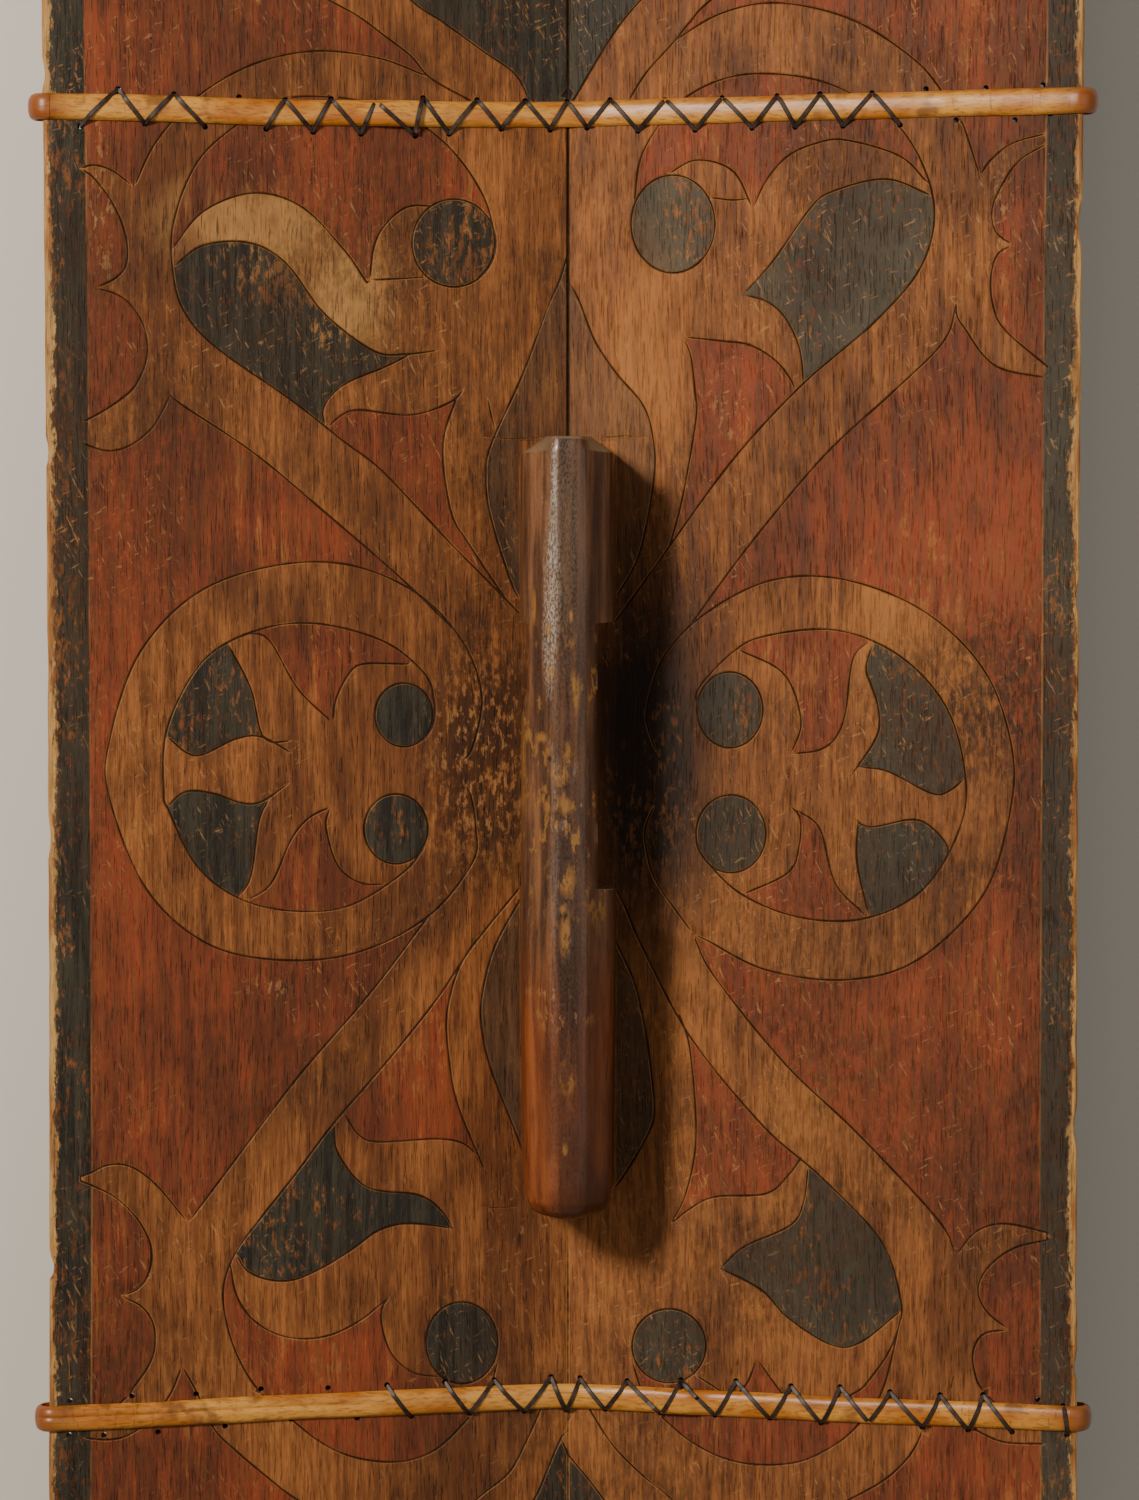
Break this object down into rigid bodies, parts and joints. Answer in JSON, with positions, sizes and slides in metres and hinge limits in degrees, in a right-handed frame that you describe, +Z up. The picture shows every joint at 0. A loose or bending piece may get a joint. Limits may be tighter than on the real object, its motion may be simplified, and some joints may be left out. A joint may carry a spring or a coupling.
{
  "type": "dayak war shield",
  "caption": "Long six-sided wooden war shield of the Dayak kind, inner side up: V-shaped board with carved-in handle, incised scrolls, two laced cane bands.",
  "frame": {"origin": "Middle of the underside of the bounding box, on the ridge flat that the shield lies on", "axes": "+X across the board to the right, +Y along the board to its upper end, +Z up to the inner side with the handle"},
  "size_m": [0.4098, 1.24, 0.075],
  "materials": {
    "carved_wood": "worn carved wood with black and red pigment",
    "split_cane": "satin split cane skin",
    "lacing_fibre": "dark flat split fibre"
  },
  "bodies": {
    "root": {"shield_board": "carved_wood", "upper_cane_band": "split_cane", "lower_cane_band": "split_cane", "upper_lacing_left": "lacing_fibre", "upper_lacing_main": "lacing_fibre", "lower_lacing_left": "lacing_fibre", "lower_lacing_main": "lacing_fibre", "lower_lacing_right": "lacing_fibre"}
  },
  "joints": []
}
